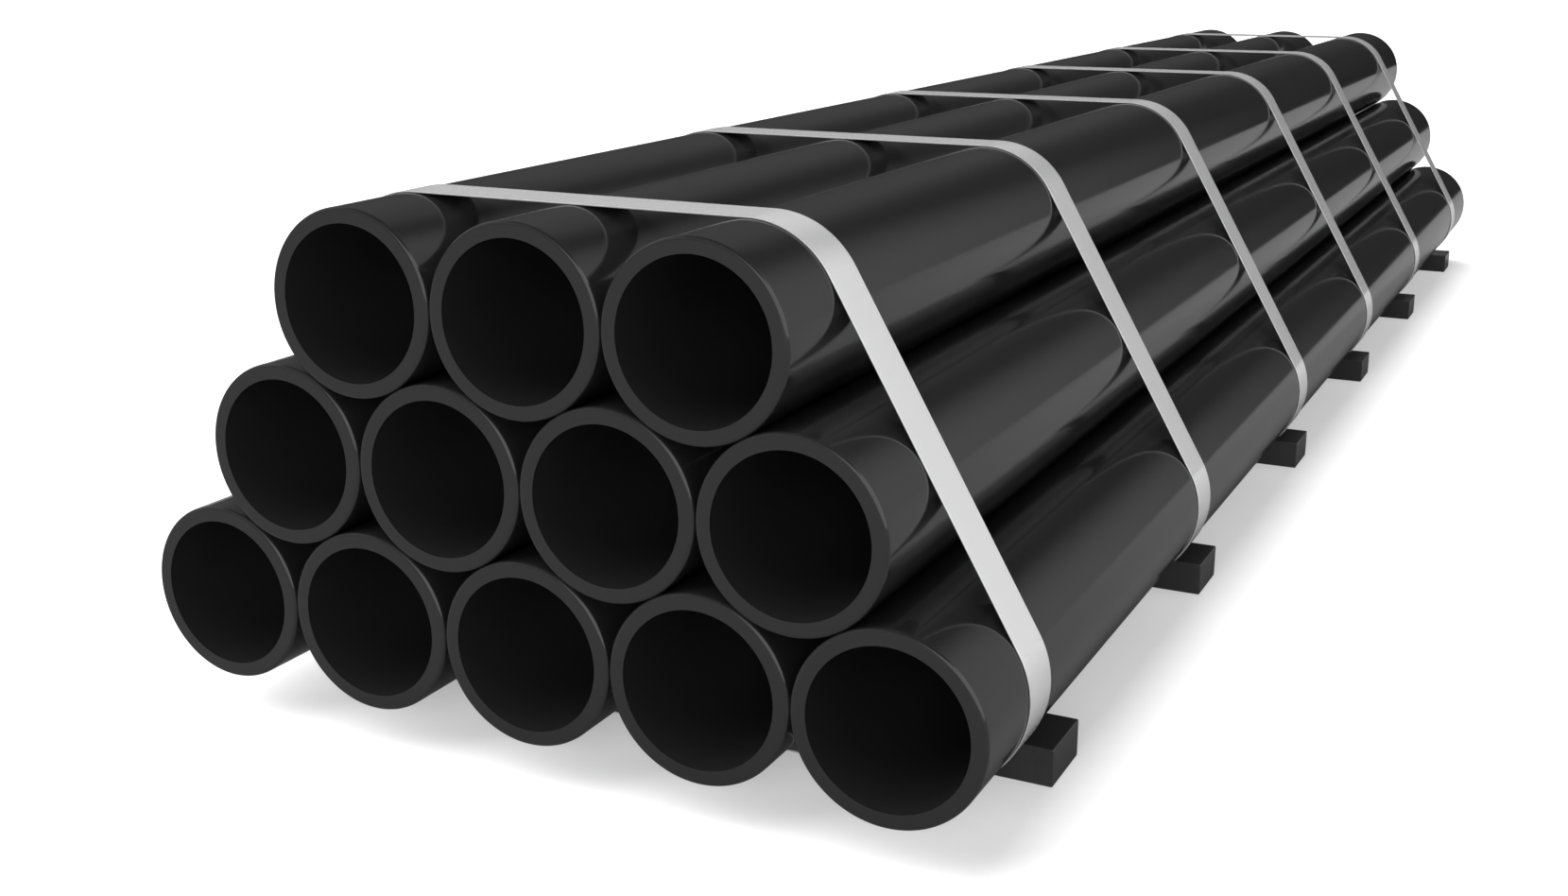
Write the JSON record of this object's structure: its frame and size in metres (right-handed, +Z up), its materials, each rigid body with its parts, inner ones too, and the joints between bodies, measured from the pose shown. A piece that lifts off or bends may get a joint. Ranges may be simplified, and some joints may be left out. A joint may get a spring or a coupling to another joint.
{
  "type": "bundle of steel pipes",
  "caption": "Round thick-walled steel pipes stacked in three rows in each other's hollows, strapped together with flat steel bands and resting on low cross bearers.",
  "frame": {"origin": "on the floor under the middle of the bundle, halfway along the pipes", "axes": "+Y along the pipes from the front ends to the rear ends, +X across the rows to the right seen from the front, +Z up"},
  "size_m": [0.8452, 3.1, 0.4979],
  "materials": {
    "pipe_lacquer": "smooth glossy black mill lacquer",
    "strap_steel": "bright rolled steel strapping, satin",
    "bearer_plastic": "black moulded plastic, semi-matte"
  },
  "bodies": {
    "root": {"pipe_bottom_1": "pipe_lacquer", "pipe_bottom_2": "pipe_lacquer", "pipe_bottom_3": "pipe_lacquer", "pipe_bottom_4": "pipe_lacquer", "pipe_bottom_5": "pipe_lacquer", "pipe_middle_1": "pipe_lacquer", "pipe_middle_2": "pipe_lacquer", "pipe_middle_3": "pipe_lacquer", "pipe_middle_4": "pipe_lacquer", "pipe_top_1": "pipe_lacquer", "pipe_top_2": "pipe_lacquer", "pipe_top_3": "pipe_lacquer", "strap_1": "strap_steel", "strap_2": "strap_steel", "strap_3": "strap_steel", "strap_4": "strap_steel", "strap_5": "strap_steel", "strap_6": "strap_steel", "bearer_1": "bearer_plastic", "bearer_2": "bearer_plastic", "bearer_3": "bearer_plastic", "bearer_4": "bearer_plastic", "bearer_5": "bearer_plastic", "bearer_6": "bearer_plastic"}
  },
  "joints": []
}
